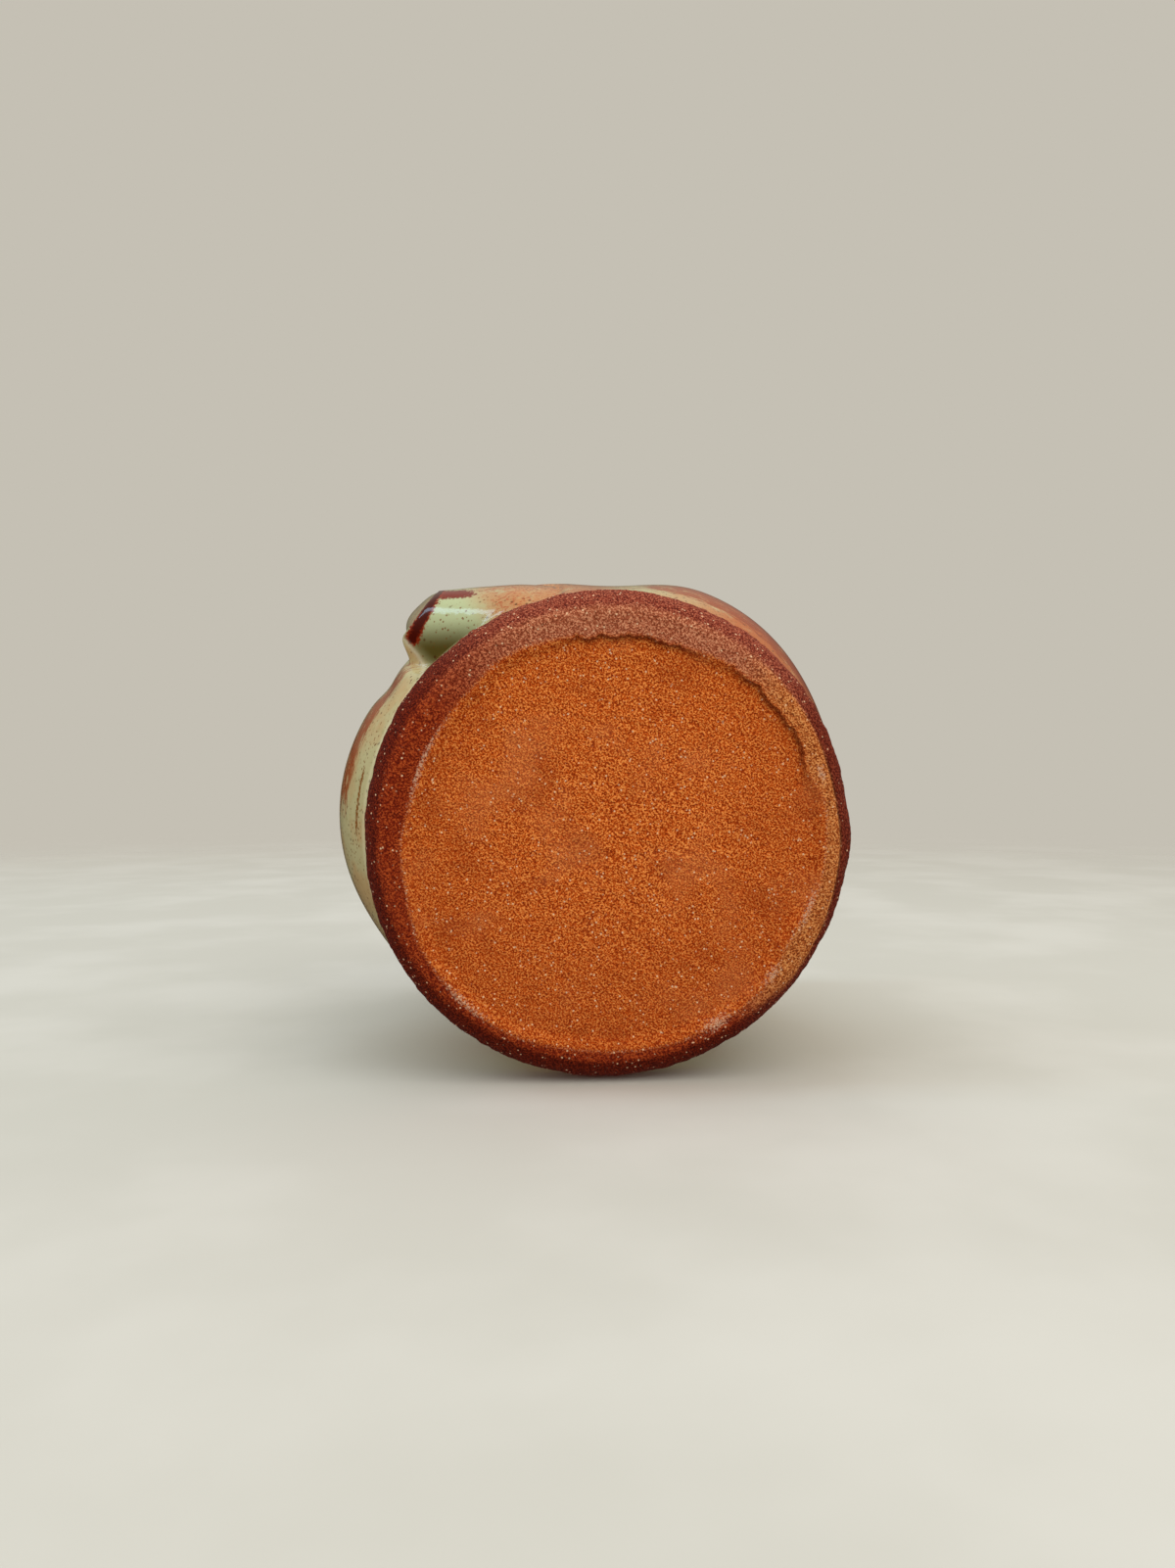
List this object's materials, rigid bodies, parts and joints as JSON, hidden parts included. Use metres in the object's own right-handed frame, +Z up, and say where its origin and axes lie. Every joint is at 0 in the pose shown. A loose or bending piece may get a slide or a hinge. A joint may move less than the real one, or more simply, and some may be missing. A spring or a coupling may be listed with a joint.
{
  "type": "cup",
  "caption": "Handmade stoneware cup with a low belly, bare clay foot, celadon glaze and a small strap handle.",
  "frame": {"origin": "on the table, under the middle of the cup's outer size; the cup's own axis is 4.1 mm towards -X", "axes": "+Z up through the mouth, +X towards the handle"},
  "size_m": [0.0898, 0.0832, 0.084],
  "materials": {
    "bare_clay": "unglazed grogged stoneware, orange brown, sandy",
    "body_clay": "fired stoneware under glaze, bare only at the lip",
    "celadon_glaze": "glossy celadon, green to peach, breaking rust brown on edges, iron specks",
    "liner_glaze": "glossy pale celadon liner with iron specks"
  },
  "bodies": {
    "root": {"base_slab": "bare_clay", "clay_wall": "body_clay", "outer_glaze": "celadon_glaze", "inner_glaze": "liner_glaze", "lower_joint": "body_clay", "handle_strap": "body_clay", "handle_glaze": "celadon_glaze", "upper_joint": "celadon_glaze"}
  },
  "joints": []
}
